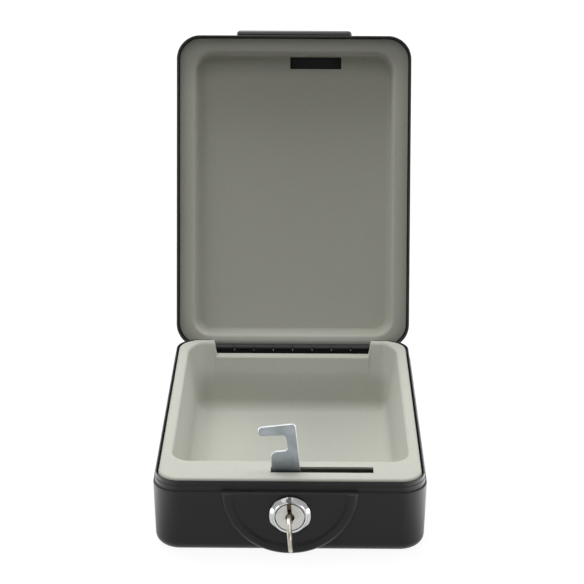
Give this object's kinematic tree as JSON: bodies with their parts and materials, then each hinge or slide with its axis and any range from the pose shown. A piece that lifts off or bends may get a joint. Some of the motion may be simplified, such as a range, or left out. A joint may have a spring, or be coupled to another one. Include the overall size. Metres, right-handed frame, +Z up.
{
  "type": "portable car safe",
  "caption": "Hinged steel lock box with a key lock, a hook latch, flocked liners and a folding handle on the lid.",
  "frame": {"origin": "middle of the flat underside of the box, which stands on a level surface", "axes": "+Z up, -Y towards the lock on the front wall, +X to the right seen from the front, lid hinged at +Y"},
  "size_m": [0.18, 0.3929, 0.2751],
  "materials": {
    "black_coat": "satin black powder coat",
    "hinge_black": "black coated steel",
    "base_flock": "pale grey flocked plastic",
    "lid_flock": "grey flocked plastic",
    "grip_plastic": "black moulded plastic",
    "chromed": "polished chrome plate",
    "nickel": "satin nickel plate",
    "zinc_plate": "bluish zinc plate",
    "brass": "plain brass",
    "spring_steel": "spring wire",
    "key_steel": "nickel silver key"
  },
  "bodies": {
    "base": {"base_shell": "black_coat", "base_liner": "base_flock", "base_hinge_leaf": "hinge_black", "hinge_pin": "hinge_black", "lock_housing": "chromed", "lock_washer": "zinc_plate", "lock_nut": "zinc_plate"},
    "lid": {"lid_shell": "black_coat", "lid_liner": "lid_flock", "latch_catch": "hinge_black", "lid_hinge_leaf": "hinge_black", "handle_bracket_left": "hinge_black", "handle_bracket_right": "hinge_black", "handle_pin_left": "chromed", "handle_pin_right": "chromed", "bracket_rivet_1": "hinge_black", "bracket_rivet_2": "hinge_black", "bracket_rivet_3": "hinge_black", "bracket_rivet_4": "hinge_black"},
    "latch": {"lock_plug": "nickel", "latch_hook": "zinc_plate", "hook_screw": "zinc_plate", "wafer_1": "brass", "wafer_2": "brass", "wafer_3": "brass", "wafer_4": "brass", "wafer_5": "brass", "wafer_spring_1": "spring_steel", "wafer_spring_2": "spring_steel", "wafer_spring_3": "spring_steel", "wafer_spring_4": "spring_steel", "wafer_spring_5": "spring_steel"},
    "key": {"key": "key_steel"},
    "grip": {"handle_grip": "grip_plastic"}
  },
  "joints": [
    {"name": "lid_hinge", "type": "hinge", "parent": "base", "child": "lid", "pos_m": [0, 0.12, 0.0445], "axis": [1, 0, 0], "range_deg": [0, 107.5]},
    {"name": "lock_turn", "type": "hinge", "parent": "base", "child": "latch", "pos_m": [0.0002, -0.12, 0.0295], "axis": [0, 1, 0], "range_deg": [0, 94.5]},
    {"name": "key_pull", "type": "slide", "parent": "latch", "child": "key", "axis": [0, -1, 0], "range_m": [0, 0.022]},
    {"name": "handle_swing", "type": "hinge", "parent": "lid", "child": "grip", "pos_m": [0, 0.21894, 0.26666], "axis": [-1, 0, 0], "range_deg": [0, 90]}
  ]
}
